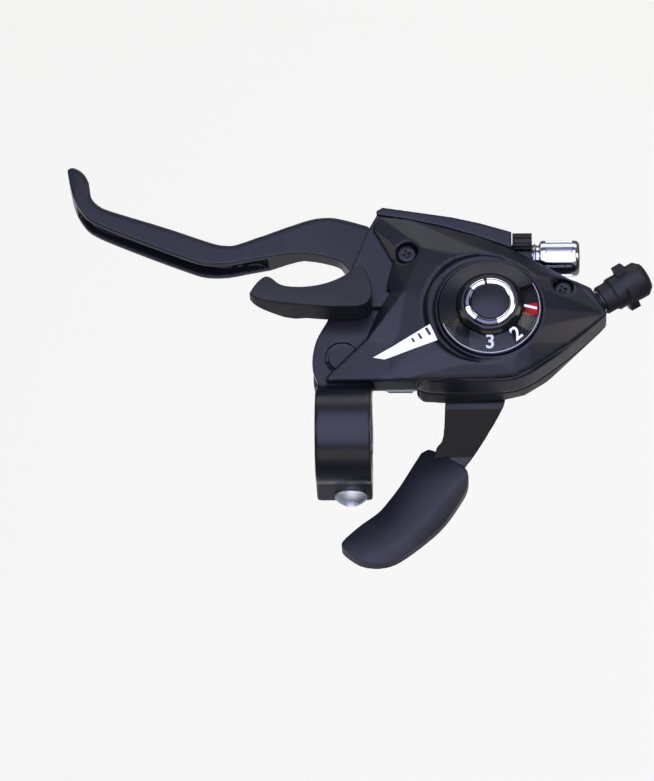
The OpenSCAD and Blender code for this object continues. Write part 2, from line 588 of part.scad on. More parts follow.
module lower_cover() color(black_plastic) difference() {
    union() {
        difference() {
            hull() {
                translate([0, 0, parting_z - 0.5]) linear_extrude(0.5) low_plan();
                translate([0, 0, parting_z - belly]) linear_extrude(0.5) polygon(floor_outline);
            }
            hull() {
                translate([0, 0, parting_z]) linear_extrude(1) inset(cover_wall) low_plan();
                translate([0, 0, floor_z]) linear_extrude(0.5) inset(cover_wall) polygon(floor_outline);
            }
        }
        post(second_screw_at, 3.2, floor_z, parting_z);
    }
    // the base plate comes in from the bracket
    translate([20, 16, base_z - plate_t - 0.2]) cube([6, 40, belly]);
    post(main_pivot, 4 + seat_gap, -belly - 3, 0);
    swing_slot(drive_pin_at, pin_d / 2 + free_gap, -belly - 3, floor_z + 0.3);
    post(second_screw_at, screw_d / 2, floor_z + 1.5, 2);
    bar_x(boss_r + seat_gap, boss_x0 - 1, boss_x1 + 1, brake_cable[0], brake_cable[1]);
    bar_x(nut_out_r + free_gap, boss_x1 - 0.4, nut_x1 + 0.6, brake_cable[0], brake_cable[1]);
}

// Upper cover. The mouth on its left side lets the release arm out.
edge_r = 1;
dome_points = concat(
    // rear crease, falling away to the cable boss
    [[13, 14.6, crease_z - 1.8], [20, 14.6, crease_z - 1.2], [30, 15.35, crease_z - 1], [48, 15.3, crease_z - 1],
        [54.8, 16, crease_z - 1], [59.9, 18.3, crease_z - 1.1], [64.4, 21.4, crease_z - 1.4], [71.4, 26.8, crease_z - 2.2],
        [77.3, 32.1, crease_z - 3.2], [83.2, 37.7, crease_z - 4.4]],
    // cable boss and front edge
    [[83, 39, 8], [79, 46, 7.6], [75, 48.2, 8.2], [65.6, 52, 9.2], [53.6, 60.6, 8.4], [42, 65.2, 8.6], [31, 68.5, 8.6], [22, 70.8, 8.6]],
    // front crease, where the crown breaks down to the seam
    [[25.4, 59.2, crease_z - 0.2], [34, 59.4, crease_z - 0.4], [44, 58.2, crease_z - 1], [54, 54.4, crease_z - 2]],
    // upper edge of the mouth and the foot of its slanted wall
    [[23.6, 54.4, crease_z], [22, 48.9, crease_z], [19.8, 44.4, crease_z]],
    [[16.6, 56.3, cheek_z + 1.1], [14.6, 48.4, cheek_z + 1.1]],
    // rim of the dial's seat
    [for (a = [0 : 22.5 : 337.5]) [main_pivot.x + (dial_r - 0.6) * cos(a), main_pivot.y + (dial_r - 0.6) * sin(a), dial_z - 1]]
);
corner_points = [[11.8, 72.2, 8.7], [9.9, 69, 8.5], [16.8, 56.4, 8.7], [22, 70.8, 8.8],
    [23.6, 54.4, crease_z - 0.2], [25.4, 59.2, crease_z - 0.2]];
// slanted wall below the mouth, down to the wing
flank_points = [[19.8, 44.4, crease_z], [12.8, 34.2, crease_z - 0.6], [8.4, 28.4, crease_z - 1.4], [24, 24, crease_z - 0.6],
    [24, 44, crease_z + 0.2], [14.2, 45, cheek_z + 1.1], [11.8, 36, cheek_z + 1.1], [8.2, 28.7, cheek_z + 1.1]];
wing_points = [[-5, 15.4, 9.2], [-1.2, 19.2, 9.4], [8.4, 28.4, crease_z - 1.6], [13, 14.6, crease_z - 1.6],
    [20, 14.6, crease_z - 1.4], [20, 30, crease_z - 0.6]];
function shrunk(p, d) = [for (q = p) let(v = [q.x - main_pivot.x, q.y - main_pivot.y], n = norm(v))
    [main_pivot.x + v.x * (n - d) / n, main_pivot.y + v.y * (n - d) / n, q.z - d]];
ceiling_z = dial_z - 4.4;
// crescent-shaped bowl beside the dial
bowl_at = main_pivot + [-2.2, 0.8];
bowl_r = dial_r + 2;
module upper_cover() color(black_plastic) difference() {
    union() {
        difference() {
            union() {
                intersection() {
                    union() {
                        crown_skins();
                        skin(corner_points, edge_r);
                    }
                    translate([-far / 2, 0, cheek_z + seat_gap]) cube(far);
                }
                translate([0, 0, parting_z + seat_gap]) linear_extrude(cheek_z + 2 - parting_z) low_plan();
                // skirt of the wing, beside the clamp
                slab([[clamp_w / 2 + free_gap, skirt_y], [24, skirt_y], [24, skirt_y + cover_wall],
                    [clamp_w / 2 + free_gap, skirt_y + cover_wall]], skirt_z, crease_z - 2);
            }
            // hollow inside of the crown and of the skirt
            intersection() {
                skin(shrunk(dome_points, cover_wall), edge_r);
                translate([web_x + 1, 0, 0]) cube([66, 62, ceiling_z]);
            }
            translate([0, 0, parting_z - 1]) linear_extrude(cheek_z + 2.6 - parting_z) difference() {
                inset(cover_wall) low_plan();
                translate([79, 20]) square(40);
            }
        }
        difference() {
            cable_boss();
            translate([0, 0, parting_z + seat_gap - far / 2]) cube([far, far, far], center = true);
        }
        post(second_screw_at, 3.2, parting_z + seat_gap, 8);
    }
    // the beam and the deck of the bracket stand in front
    translate([0, beam_rear - 0.1, -10]) cube([boss_x1 + 0.1, 30, cheek_z + 10 + seat_gap]);
    difference() {
        translate([bowl_at.x, bowl_at.y, dial_z - 2.6]) cylinder(r1 = bowl_r - 1.6, r2 = bowl_r + 1.6, h = 4.5);
        post(main_pivot, dial_r, 0, dial_z + 9);
    }
    // seat of the dial
    post(main_pivot, dial_r - 1.1, drum_top, dial_z + 5);
    // cable adjuster's thread
    along_cable(boss_start - 2) cylinder(r = shift_thread_d / 2, h = 20);
    along_cable(boss_face) cylinder(r = 12, h = 20);
    translate([0, -seat_gap, 0]) slab(concat(beam_front, reversed(seam)), 0, cheek_z + 2 * lip_h);
    // room for the brake cable adjuster and its locknut
    bar_x(boss_r + seat_gap, boss_x0 - 1, boss_x1 + 1, brake_cable[0], brake_cable[1]);
    bar_x(nut_out_r + free_gap, boss_x1 - 0.4, nut_x1 + 0.6, brake_cable[0], brake_cable[1]);
    bar_x(head_r + free_gap, nut_x1, head_x1 + 3, brake_cable[0], brake_cable[1]);
    // screw recesses
    post(front_screw_at, screw_head_d / 2 + 0.9, head_seat_z, 30);
    post(front_screw_at, screw_d / 2 + 0.2, 0, 30);
    post(second_screw_at, screw_head_d / 2 + 0.6, second_seat_z, 30);
    post(second_screw_at, screw_d / 2 + 0.2, -5, 30);
    // mouth for the release arm
    translate([8, 35.1, trigger_z - free_gap]) cube([18, 10.9, plate_t + 2 * free_gap]);
    translate([14, 35.1, trigger_z - free_gap - 1]) cube([12, 10.9, 3]);
}
head_seat_z = cheek_z + 1.6;
second_seat_z = 7.4;
module cross_screw(at, seat, foot) {
    difference() {
        union() {
            post(at, screw_head_d / 2, seat, seat + 1.6);
            post(at, screw_d / 2 - 0.02, foot, seat + 0.1);
        }
        for (turn = [0, 90]) translate([at.x, at.y, seat + 1.3]) rotate([0, 0, turn + 20]) cube([2.8, 0.8, 1.6], center = true);
    }
}
module cover_screws() color("black") {
    cross_screw(front_screw_at, head_seat_z, jaw_h / 2 + 0.4);
    cross_screw(second_screw_at, second_seat_z, floor_z + 1.8);
}
module plate_screws() color(zinc) for (at = plate_screw_at) cross_screw(at, base_z, -cheek_z + 0.2);

// White wedge on the sloping top, beside the dial.
label_t = 0.25;
module crown_skins() {
    skin(dome_points, edge_r);
    skin(flank_points, edge_r);
    skin(wing_points, edge_r);
}
module side_label() color("white") intersection() {
    difference() {
        translate([0, 0, label_t + 0.02]) crown_skins();
        translate([0, 0, 0.02]) crown_skins();
    }
    translate([0, 0, crease_z - 4]) linear_extrude(10)
        polygon([[9.6, 21.4], [27.8, 31.6], [30.2, 26], [13.2, 20.6]]);
}

// Dial: clear window, black bezel, chrome ring and cap.
bezel_r = 10.9;
ring_out = 8.3;
cap_r = 6.1;
module turned(p) { translate([main_pivot.x, main_pivot.y, dial_z]) rotate_extrude() polygon(p); }
module dial_window() color([0.6, 0.63, 0.7, 0.5])
    turned([[dial_r - 1.2, -0.7], [dial_r - 1.2, 0.4], [bezel_r, 3], [bezel_r, 1.9], [dial_r - 2.8, -0.7]]);
module dial_bezel() color(black_plastic)
    turned([[0, 0.5], [bezel_r - seat_gap, 1.9], [bezel_r - seat_gap, 3.2], [ring_out + 0.8, 5], [ring_out + seat_gap, 5], [ring_out + seat_gap, 3.8], [0, 3.8]]);
module chrome_ring() color("silver")
    turned([[cap_r + seat_gap, 3.8], [ring_out, 3.8], [ring_out, 5.1], [ring_out - 0.5, 5.5], [cap_r + 0.5, 5.5], [cap_r + seat_gap, 5.1]]);
module dial_cap() color(black_paint) turned([[0, 3.8], [cap_r, 3.8], [cap_r, 5], [cap_r - 0.3, 5.2], [0, 5.3]]);

// Shift cable adjuster, moulded, with its thread inside the boss.
module shift_adjuster() color(black_plastic) difference() {
    union() {
        along_cable(boss_start - 1) cylinder(r = shift_thread_d / 2 - run_gap, h = boss_face - boss_start + 2);
        along_cable(boss_face + free_gap) rotate_extrude() polygon([
            [0, 0], [neck_d / 2 - 0.4, 0], [neck_d / 2, 0.5], [neck_d / 2, 3.6], [neck_d / 2 + 0.2, 4.1], [barrel_d / 2, 4.6], [barrel_d / 2, 8.4],
            [barrel_d / 2 + 0.5, 12.2], [barrel_d / 2 + 0.5, 15], [barrel_d / 2 - 1, 16.8], [0, 17]
        ]);
        for (turn = [0 : 3]) along_cable(boss_face + 8.2) rotate([0, 0, turn * 90 + 45])
            translate([0, -1.7, 0]) cube([fin_d / 2, 3.4, 3.4]);
    }
    along_cable(boss_face + 9) cylinder(r = 2.1, h = 10);
    along_cable(0) cylinder(r = 0.9, h = 60);
    along_cable(boss_face) difference() {
        cylinder(r = 4.2, h = 2.6);
        translate([0, 0, -1]) cylinder(r = shift_thread_d / 2 - run_gap, h = 5);
    }
}
module adjuster_click_spring() color(steel) along_cable(boss_face + 0.1) difference() {
    cylinder(r = 3.9, h = 2.5);
    translate([0, 0, -1]) cylinder(r = 3.2, h = 5);
}

bracket();
clamp_bolt();
clamp_nut();
brake_lever();
lever_axle();
lever_bush();
lever_return_spring();
brake_adjuster();
adjuster_locknut();
base_plate();
main_axle();
axle_nut();
spacer_sleeve();
cable_drum();
ratchet_wheel();
drum_spring();
drive_pawl();
drive_pawl_pin();
drive_pawl_spring();
hold_pawl();
hold_pawl_pin();
hold_pawl_spring();
thumb_lever_arm();
thumb_pad();
thumb_spring();
release_arm();
release_trigger();
release_spring();
lower_cover();
upper_cover();
cover_screws();
plate_screws();
side_label();
indicator_disc();
gear_pointer();
dial_window();
dial_bezel();
chrome_ring();
dial_cap();
shift_adjuster();
adjuster_click_spring();
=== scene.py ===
import json
import math

import bpy
from mathutils import Matrix, Vector

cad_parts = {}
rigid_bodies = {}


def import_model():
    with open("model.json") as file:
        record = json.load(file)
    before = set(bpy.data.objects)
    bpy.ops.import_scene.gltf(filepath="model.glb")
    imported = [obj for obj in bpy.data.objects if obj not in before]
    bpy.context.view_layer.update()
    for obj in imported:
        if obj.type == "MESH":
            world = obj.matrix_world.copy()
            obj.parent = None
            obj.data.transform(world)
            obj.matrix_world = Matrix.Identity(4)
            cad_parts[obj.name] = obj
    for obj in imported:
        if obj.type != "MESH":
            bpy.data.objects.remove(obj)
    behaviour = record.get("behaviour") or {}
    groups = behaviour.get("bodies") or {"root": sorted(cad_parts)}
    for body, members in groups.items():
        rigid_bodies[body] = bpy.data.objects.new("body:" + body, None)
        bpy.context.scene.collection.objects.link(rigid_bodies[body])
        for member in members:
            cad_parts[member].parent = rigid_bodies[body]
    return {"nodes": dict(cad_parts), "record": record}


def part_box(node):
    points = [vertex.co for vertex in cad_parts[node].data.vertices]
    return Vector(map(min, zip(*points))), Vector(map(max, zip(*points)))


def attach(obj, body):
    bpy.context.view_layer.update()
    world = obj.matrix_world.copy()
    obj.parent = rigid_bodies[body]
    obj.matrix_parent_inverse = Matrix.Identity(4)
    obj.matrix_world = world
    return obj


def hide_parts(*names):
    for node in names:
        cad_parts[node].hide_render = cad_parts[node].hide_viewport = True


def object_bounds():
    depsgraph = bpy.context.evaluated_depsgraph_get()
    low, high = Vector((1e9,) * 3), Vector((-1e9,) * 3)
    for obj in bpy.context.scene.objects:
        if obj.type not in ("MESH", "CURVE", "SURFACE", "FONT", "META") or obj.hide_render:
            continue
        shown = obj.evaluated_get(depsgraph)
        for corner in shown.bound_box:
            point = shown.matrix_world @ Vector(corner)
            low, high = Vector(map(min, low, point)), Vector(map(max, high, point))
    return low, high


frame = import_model()
cadLow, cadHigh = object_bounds()
nodes = frame["nodes"]
mm = 0.001
print("frame loaded:", len(nodes), "nodes")


# colours and nodes

def linear(hexColour):
    # sRGB hex to a linear colour
    parts = [int(hexColour[i:i + 2], 16) / 255 for i in (1, 3, 5)]
    return [c / 12.92 if c <= 0.04045 else ((c + 0.055) / 1.055) ** 2.4 for c in parts] + [1.0]


def addNode(tree, kind, settings=None, inputs=None, links=None):
    node = tree.nodes.new(kind)
    for name, value in (settings or {}).items():
        setattr(node, name, value)
    for name, value in (inputs or {}).items():
        node.inputs[name].default_value = value
    for name, source in (links or {}).items():
        tree.links.new(source, node.inputs[name])
    return node


def startMaterial(name, colour, roughness, metallic=0.0, **sockets):
    material = bpy.data.materials.new(name)
    material.use_nodes = True
    tree = material.node_tree
    shader = tree.nodes["Principled BSDF"]
    shader.inputs["Base Color"].default_value = linear(colour)
    shader.inputs["Roughness"].default_value = roughness
    shader.inputs["Metallic"].default_value = metallic
    for socket, value in sockets.items():
        shader.inputs[socket.replace("_", " ")].default_value = value
    return material, tree, shader


def addGrain(tree, shader, grainMm, depthMm, detail=2.0, strength=1.0):
    # moulded or sprayed grain of a real size, as bump
    place = addNode(tree, "ShaderNodeTexCoord")
    noise = addNode(tree, "ShaderNodeTexNoise", links={"Vector": place.outputs["Object"]},
                    inputs={"Scale": 1 / (grainMm * mm), "Detail": detail, "Roughness": 0.5})
    bump = addNode(tree, "ShaderNodeBump", inputs={"Strength": strength, "Distance": depthMm * mm},
                   links={"Height": noise.outputs["Fac"]})
    tree.links.new(bump.outputs["Normal"], shader.inputs["Normal"])
    return place


def addCloud(tree, shader, place, sizeMm, low, high):
    # roughness that drifts over some millimetres, as on a handled or sprayed surface
    cloud = addNode(tree, "ShaderNodeTexNoise", links={"Vector": place.outputs["Object"]},
                    inputs={"Scale": 1 / (sizeMm * mm), "Detail": 3.0, "Roughness": 0.6})
    spread = addNode(tree, "ShaderNodeMapRange", links={"Value": cloud.outputs["Fac"]},
                     inputs={"From Min": 0.3, "From Max": 0.7, "To Min": low, "To Max": high})
    tree.links.new(spread.outputs["Result"], shader.inputs["Roughness"])


def satinPaint(name, colour, low, high, grainMm, depthMm, coat):
    # sprayed satin paint: soft sheen, faint orange peel
    material, tree, shader = startMaterial(name, colour, low, Coat_Weight=coat, Coat_Roughness=0.22,
                                           Specular_IOR_Level=0.36)
    place = addGrain(tree, shader, grainMm, depthMm)
    addCloud(tree, shader, place, 14, low, high)
    return material


def mouldedPlastic(name, colour, low, high, grainMm, depthMm):
    # glass-filled nylon or ABS straight from the mould: fine spark-eroded grain
    material, tree, shader = startMaterial(name, colour, low, Specular_IOR_Level=0.4)
    place = addGrain(tree, shader, grainMm, depthMm, detail=4.0)
    addCloud(tree, shader, place, 9, low, high)
    return material


def metalFinish(name, colour, low, high, streakMm, depthMm):
    # plated or turned metal: fine streaks that catch the light
    material, tree, shader = startMaterial(name, colour, low, metallic=1.0)
    place = addNode(tree, "ShaderNodeTexCoord")
    squeeze = addNode(tree, "ShaderNodeMapping", inputs={"Scale": (0.12, 1.0, 1.0)},
                      links={"Vector": place.outputs["Object"]})
    noise = addNode(tree, "ShaderNodeTexNoise", inputs={"Scale": 1 / (streakMm * mm), "Detail": 3.0},
                    links={"Vector": squeeze.outputs["Vector"]})
    bump = addNode(tree, "ShaderNodeBump", inputs={"Strength": 0.6, "Distance": depthMm * mm},
                   links={"Height": noise.outputs["Fac"]})
    tree.links.new(bump.outputs["Normal"], shader.inputs["Normal"])
    addCloud(tree, shader, place, 5, low, high)
    return material


def plainPrint(name, colour, roughness):
    # pad-printed ink or film: flat colour, the faintest texture
    material, tree, shader = startMaterial(name, colour, roughness)
    addGrain(tree, shader, 0.4, 0.004)
    return material


def clearAcrylic(name):
    # clear moulded acrylic window
    material, tree, shader = startMaterial(name, "#0b0b10", 0.06, Specular_IOR_Level=1.0, Alpha=0.16)
    addGrain(tree, shader, 6, 0.01, strength=0.2)
    return material


finish = {
    "paintedAlloy": satinPaint("satin black paint on cast alloy", "#12121a", 0.28, 0.38, 0.9, 0.010, 0.0),
    "satinAbs": satinPaint("satin black ABS", "#13131b", 0.30, 0.40, 0.7, 0.008, 0.0),
    "blackSteel": satinPaint("black electrocoat on sheet steel", "#17171b", 0.28, 0.40, 0.8, 0.010, 0.0),
    "nylon": mouldedPlastic("black glass-filled nylon", "#111114", 0.44, 0.56, 0.35, 0.014),
    "grainedNylon": mouldedPlastic("grained black nylon", "#26262a", 0.42, 0.55, 0.5, 0.04),
    "glossAbs": mouldedPlastic("gloss black ABS", "#09090c", 0.12, 0.2, 2.0, 0.003),
    "acetal": mouldedPlastic("natural acetal", "#d9d4c4", 0.4, 0.5, 0.6, 0.01),
    "chrome": metalFinish("mirror chrome on plastic", "#f4f5f7", 0.10, 0.18, 0.8, 0.002),
    # painted reflection: a darker chrome laid on arcs of the dial's ring
    "chromePaintedDark": metalFinish("chrome on plastic with painted dark reflection", "#5c5d64", 0.08, 0.16, 0.8, 0.002),
    "plated": metalFinish("nickel plated alloy", "#bfc1c5", 0.10, 0.20, 0.3, 0.006),
    "zinc": metalFinish("bright zinc plate on steel", "#e8eef0", 0.42, 0.55, 0.25, 0.008),
    "groundSteel": metalFinish("ground steel", "#9a9ba0", 0.28, 0.4, 0.2, 0.006),
    "springSteel": metalFinish("oiled spring wire", "#7c7d82", 0.3, 0.45, 0.2, 0.006),
    "whiteFilm": plainPrint("white printed film", "#fbfbfa", 0.35),
    "whiteInk": plainPrint("white ink", "#f4f4f4", 0.4),
    "greyInk": plainPrint("pale grey ink", "#c4c7cf", 0.4),
    "redAbs": plainPrint("red ABS", "#ff1512", 0.5),
    "acrylic": clearAcrylic("clear acrylic"),
}
print("materials:", len(finish))

finishOfSlot = {
    "painted_alloy": "paintedAlloy", "black_steel": "blackSteel", "zinc_steel": "zinc",
    "bright_steel": "groundSteel", "spring_steel": "springSteel", "bearing_plastic": "acetal",
    "plated_alloy": "plated", "chrome_plate": "chrome", "moulded_black": "nylon",
    "textured_black": "grainedNylon", "satin_black": "satinAbs", "white_print": "whiteFilm",
    "red_print": "redAbs", "clear_window": "acrylic",
}
slotOfNode = {part["node"]: part["material_slot"] for part in frame["record"]["subparts"]}

# nodes with another finish than the rest of their slot
paintedNodes = {"lever_axle": "paintedAlloy", "release_arm": "blackSteel", "plate_screws": "blackSteel"}


def paint(piece, materialKey):
    piece.data.materials.clear()
    piece.data.materials.append(finish[materialKey])


for nodeName, nodeObject in nodes.items():
    paint(nodeObject, paintedNodes.get(nodeName, finishOfSlot[slotOfNode[nodeName]]))


# tools for the pieces; sizes in millimetres, angles in degrees

mergeGap, seamGap = 0.004, 0.002    # points closer than this are one, in a CAD mesh and in a turned piece
flatDeg = 0.4                       # neighbouring faces flatter than this are one


def deselectAll():
    if bpy.context.object and bpy.context.object.mode != "OBJECT":
        bpy.ops.object.mode_set(mode="OBJECT")
    bpy.ops.object.select_all(action="DESELECT")


def pick(piece):
    deselectAll()
    piece.select_set(True)
    bpy.context.view_layer.objects.active = piece


def settle(piece, name, materialKey, body, angle=35):
    # the finished piece: named, smooth, at the origin and riding on its body
    pick(piece)
    bpy.ops.object.transform_apply(location=True, rotation=True, scale=True)
    bpy.ops.object.shade_smooth_by_angle(angle=math.radians(angle))
    piece.name = name
    piece.data.name = name
    paint(piece, materialKey)
    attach(piece, body)
    return piece


def applyModifier(piece, kind, **settings):
    pick(piece)
    modifier = piece.modifiers.new(kind.lower(), kind)
    for name, value in settings.items():
        setattr(modifier, name, value)
    bpy.ops.object.modifier_apply(modifier=modifier.name)


def bodyOf(nodeName):
    for body, members in frame["record"]["behaviour"]["bodies"].items():
        if nodeName in members:
            return body


def cleanCopy(nodeName, flatten=True):
    # a copy of a CAD node with its loose triangles merged, into flat faces where asked;
    # the normals stored with it belong to the old faces and are dropped
    piece = bpy.data.objects.new(nodeName + "_soft", nodes[nodeName].data.copy())
    bpy.context.scene.collection.objects.link(piece)
    pick(piece)
    bpy.ops.mesh.customdata_custom_splitnormals_clear()
    bpy.ops.object.mode_set(mode="EDIT")
    bpy.ops.mesh.select_all(action="SELECT")
    bpy.ops.mesh.remove_doubles(threshold=mergeGap * mm)
    if flatten:
        bpy.ops.mesh.dissolve_limited(angle_limit=math.radians(flatDeg))
    bpy.ops.object.mode_set(mode="OBJECT")
    return piece


# picking faces and edges by their place

def editMode(piece, kind):
    pick(piece)
    bpy.ops.object.mode_set(mode="EDIT")
    bpy.ops.mesh.select_mode(type=kind)
    bpy.ops.mesh.select_all(action="DESELECT")
    bpy.ops.object.mode_set(mode="OBJECT")


def pickFaces(piece, test):
    # test gets a face's centre in millimetres and its normal
    editMode(piece, "FACE")
    for face in piece.data.polygons:
        face.select = test(face.center / mm, face.normal)
    bpy.ops.object.mode_set(mode="EDIT")


def pickEdges(piece, sharpDeg, test):
    # the edges bent more than an angle; test gets an edge's middle in millimetres
    editMode(piece, "EDGE")
    mesh = piece.data
    beside = {}
    for face in mesh.polygons:
        for key in face.edge_keys:
            beside.setdefault(key, []).append(face.normal)
    for edge in mesh.edges:
        normals = beside.get(edge.key, [])
        if len(normals) == 2 and normals[0].angle(normals[1], 0) > math.radians(sharpDeg):
            middle = (mesh.vertices[edge.vertices[0]].co + mesh.vertices[edge.vertices[1]].co) / (2 * mm)
            edge.select = test(middle)
    bpy.ops.object.mode_set(mode="EDIT")


def pickPoints(piece, grow, test):
    # test gets a point's place in millimetres and its normal; the choice then grows by some rings of points
    editMode(piece, "VERT")
    for point in piece.data.vertices:
        point.select = test(point.co / mm, point.normal)
    bpy.ops.object.mode_set(mode="EDIT")
    for ring in range(grow):
        bpy.ops.mesh.select_more()


def relaxPicked(rounds):
    bpy.ops.mesh.vertices_smooth(factor=0.5, repeat=rounds)
    bpy.ops.object.mode_set(mode="OBJECT")


def roundPicked(radiusMm, segments):
    bpy.ops.mesh.bevel(offset=radiusMm * mm, segments=segments, profile=0.5, affect="EDGES",
                       clamp_overlap=True)
    bpy.ops.object.mode_set(mode="OBJECT")


def standFor(piece, nodeName, materialKey=None, angle=35):
    materialKey = materialKey or finishOfSlot[slotOfNode[nodeName]]
    settle(piece, nodeName + "_finish", materialKey, bodyOf(nodeName), angle)
    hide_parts(nodeName)
    return piece


def evenOut(piece, voxelMm):
    pick(piece)
    piece.data.remesh_voxel_size = voxelMm * mm
    bpy.ops.object.voxel_remesh()
    return piece


def evenMesh(nodeName, voxelMm):
    return evenOut(cleanCopy(nodeName, flatten=False), voxelMm)


def relaxCreases(piece, sharpness, grow, rounds):
    # takes the harsh creases out of an evenly meshed piece and leaves its open faces alone
    editMode(piece, "VERT")
    bpy.ops.object.mode_set(mode="EDIT")
    bpy.ops.mesh.select_mode(type="EDGE")
    bpy.ops.mesh.edges_select_sharp(sharpness=sharpness)
    bpy.ops.mesh.select_mode(type="VERT")
    for ring in range(grow):
        bpy.ops.mesh.select_more()
    relaxPicked(rounds)


def smoothAll(piece, rounds):
    applyModifier(piece, "SMOOTH", factor=0.5, iterations=rounds)


def softNode(nodeName, voxelMm, rounds, creases=None):
    # stands for a moulded CAD node whose corners are all a little soft
    piece = evenMesh(nodeName, voxelMm)
    if creases:
        relaxCreases(piece, *creases)
    smoothAll(piece, rounds)
    return standFor(piece, nodeName, angle=60)


def cutLevel(piece, cutMm, keepAbove):
    # cuts a piece at a level, closes it with one flat face there and keeps one side
    pick(piece)
    bpy.ops.object.mode_set(mode="EDIT")
    bpy.ops.mesh.select_all(action="SELECT")
    bpy.ops.mesh.bisect(plane_co=(0, 0, cutMm * mm), plane_no=(0, 0, 1), use_fill=True,
                        clear_inner=keepAbove, clear_outer=not keepAbove)
    bpy.ops.object.mode_set(mode="OBJECT")


def capOff(nodeName, cutMm):
    # the part of a CAD node below a level
    piece = cleanCopy(nodeName)
    cutLevel(piece, cutMm, False)
    return piece


def growEnd(piece, fromMm, toMm):
    # draws the flat face at one level out to another
    pickFaces(piece, lambda centre, normal: abs(normal.z) > 0.9 and abs(centre.z - fromMm) < 0.05)
    bpy.ops.mesh.extrude_region_move(TRANSFORM_OT_translate={"value": (0, 0, (toMm - fromMm) * mm)})
    bpy.ops.object.mode_set(mode="OBJECT")


# covers: moulded shells with soft corners

coverShape = {"voxel": {"upper_cover": 0.38, "lower_cover": 0.4}, "rounds": 3,
              "creases": (0.5, 2, 12)}      # sharper than this in radians, rings of points, rounds
for nodeName, voxel in coverShape["voxel"].items():
    cover = softNode(nodeName, voxel, coverShape["rounds"], coverShape["creases"])
    print(nodeName, "softened:", len(cover.data.polygons), "faces")


# bracket and clamp: a painted casting, the ring's edges well rounded

bracketShape = {"voxel": 0.45, "rounds": 2, "keep": 0.7, "ringGrow": 3, "ringRounds": 16, "clampHalf": 9.0,
                "edgeBand": 0.6, "edgeLean": 0.25, "ringInside": 13.0, "ringRear": 13.5}


def buildBracket():
    piece = evenMesh("bracket", bracketShape["voxel"])

    def onRing(place, normal):
        offEdge = abs(abs(place.x) - bracketShape["clampHalf"])
        onEdge = offEdge < bracketShape["edgeBand"] and abs(normal.x) > bracketShape["edgeLean"]
        outside = math.hypot(place.y, place.z) > bracketShape["ringInside"]
        return onEdge and outside and place.y < bracketShape["ringRear"]

    pickPoints(piece, bracketShape["ringGrow"], onRing)
    relaxPicked(bracketShape["ringRounds"])
    smoothAll(piece, bracketShape["rounds"])
    applyModifier(piece, "DECIMATE", ratio=bracketShape["keep"])
    standFor(piece, "bracket", angle=50)


buildBracket()
print("bracket rounded")


# brake lever: broadly round along the front edge, crisp along the rear one

leverShape = {"voxel": 0.4, "rounds": 2, "frontGrow": 3, "frontRounds": 18, "bladeFrom": 62, "bladeTo": 8,
              "frontLean": 0.3, "topLean": (0.25, 0.95)}


def buildLever():
    piece = evenMesh("brake_lever", leverShape["voxel"])

    def frontEdge(place, normal):
        onBlade = place.y > leverShape["bladeFrom"] and place.x < leverShape["bladeTo"]
        low, high = leverShape["topLean"]
        return onBlade and normal.y > leverShape["frontLean"] and low < abs(normal.z) < high

    pickPoints(piece, leverShape["frontGrow"], frontEdge)
    relaxPicked(leverShape["frontRounds"])
    smoothAll(piece, leverShape["rounds"])
    standFor(piece, "brake_lever", angle=60)


buildLever()
print("brake lever rounded")


# release trigger: flat on top with a broad soft edge

triggerShape = {"cut": 17.0, "top": 19.1, "round": 1.9, "segments": 6, "sharp": 40}


def buildTrigger():
    piece = capOff("release_trigger", triggerShape["cut"])
    growEnd(piece, triggerShape["cut"], triggerShape["top"])
    edgeLevel = triggerShape["top"] - 0.1
    pickEdges(piece, triggerShape["sharp"], lambda middle: middle.z > edgeLevel)
    roundPicked(triggerShape["round"], triggerShape["segments"])
    standFor(piece, "release_trigger")


buildTrigger()


# thumb pad: moulded over its arm, its top falling away on both sides of a long soft ridge

padShape = {"voxel": 0.3, "top": -23.25, "bottom": -29.1, "cutTop": -26.6, "cutBottom": -26.8, "rounds": 3,
            "ridge": [(42, 1), (34.8, -7.5), (27, -17), (20, -24.7), (12.3, -29.9), (0, -34)],
            "outer": (4.2, 1.2, 1.6), "inner": (10.0, 0.8, 2.0),    # reach, drop there and how it steepens
            "topDepth": 3.5, "sideLean": 0.5}


def fromRidge(place):
    # distance to the ridge in plan, positive on the outer side
    best = None
    for start, end in zip(padShape["ridge"], padShape["ridge"][1:]):
        along = Vector(end) - Vector(start)
        away = Vector((place.x, place.y)) - Vector(start)
        share = min(max(away.dot(along) / along.length_squared, 0), 1)
        gap = (away - along * share).length
        side = 1 if along.x * away.y - along.y * away.x > 0 else -1
        if best is None or gap < abs(best):
            best = gap * side
    return best


def buildPad():
    # a slice of the node's full outline is drawn out to both ends,
    # then the top is pressed down on both sides of the ridge
    piece = capOff("thumb_pad", padShape["cutTop"])
    cutLevel(piece, padShape["cutBottom"], True)
    growEnd(piece, padShape["cutTop"], padShape["top"])
    growEnd(piece, padShape["cutBottom"], padShape["bottom"])
    evenOut(piece, padShape["voxel"])
    for point in piece.data.vertices:
        if point.co.z > (padShape["top"] - padShape["topDepth"]) * mm:
            away = fromRidge(point.co / mm)
            reach, drop, power = padShape["outer"] if away > 0 else padShape["inner"]
            point.co.z = min(point.co.z, (padShape["top"] - drop * (abs(away) / reach) ** power) * mm)
    smoothAll(piece, padShape["rounds"])
    standFor(piece, "thumb_pad", "satinAbs", 40)
    piece.data.materials.append(finish["grainedNylon"])
    for face in piece.data.polygons:
        if face.normal.z < padShape["sideLean"]:
            face.material_index = 1


buildPad()
print("trigger and thumb pad shaped")


# thumb lever's arm: bent sheet steel with broken edges

armShape = {"voxel": 0.3, "rounds": 3}
softNode("thumb_lever_arm", armShape["voxel"], armShape["rounds"])
print("thumb lever's arm softened")


# fasteners, locknut and shift adjuster, with their sharp edges broken

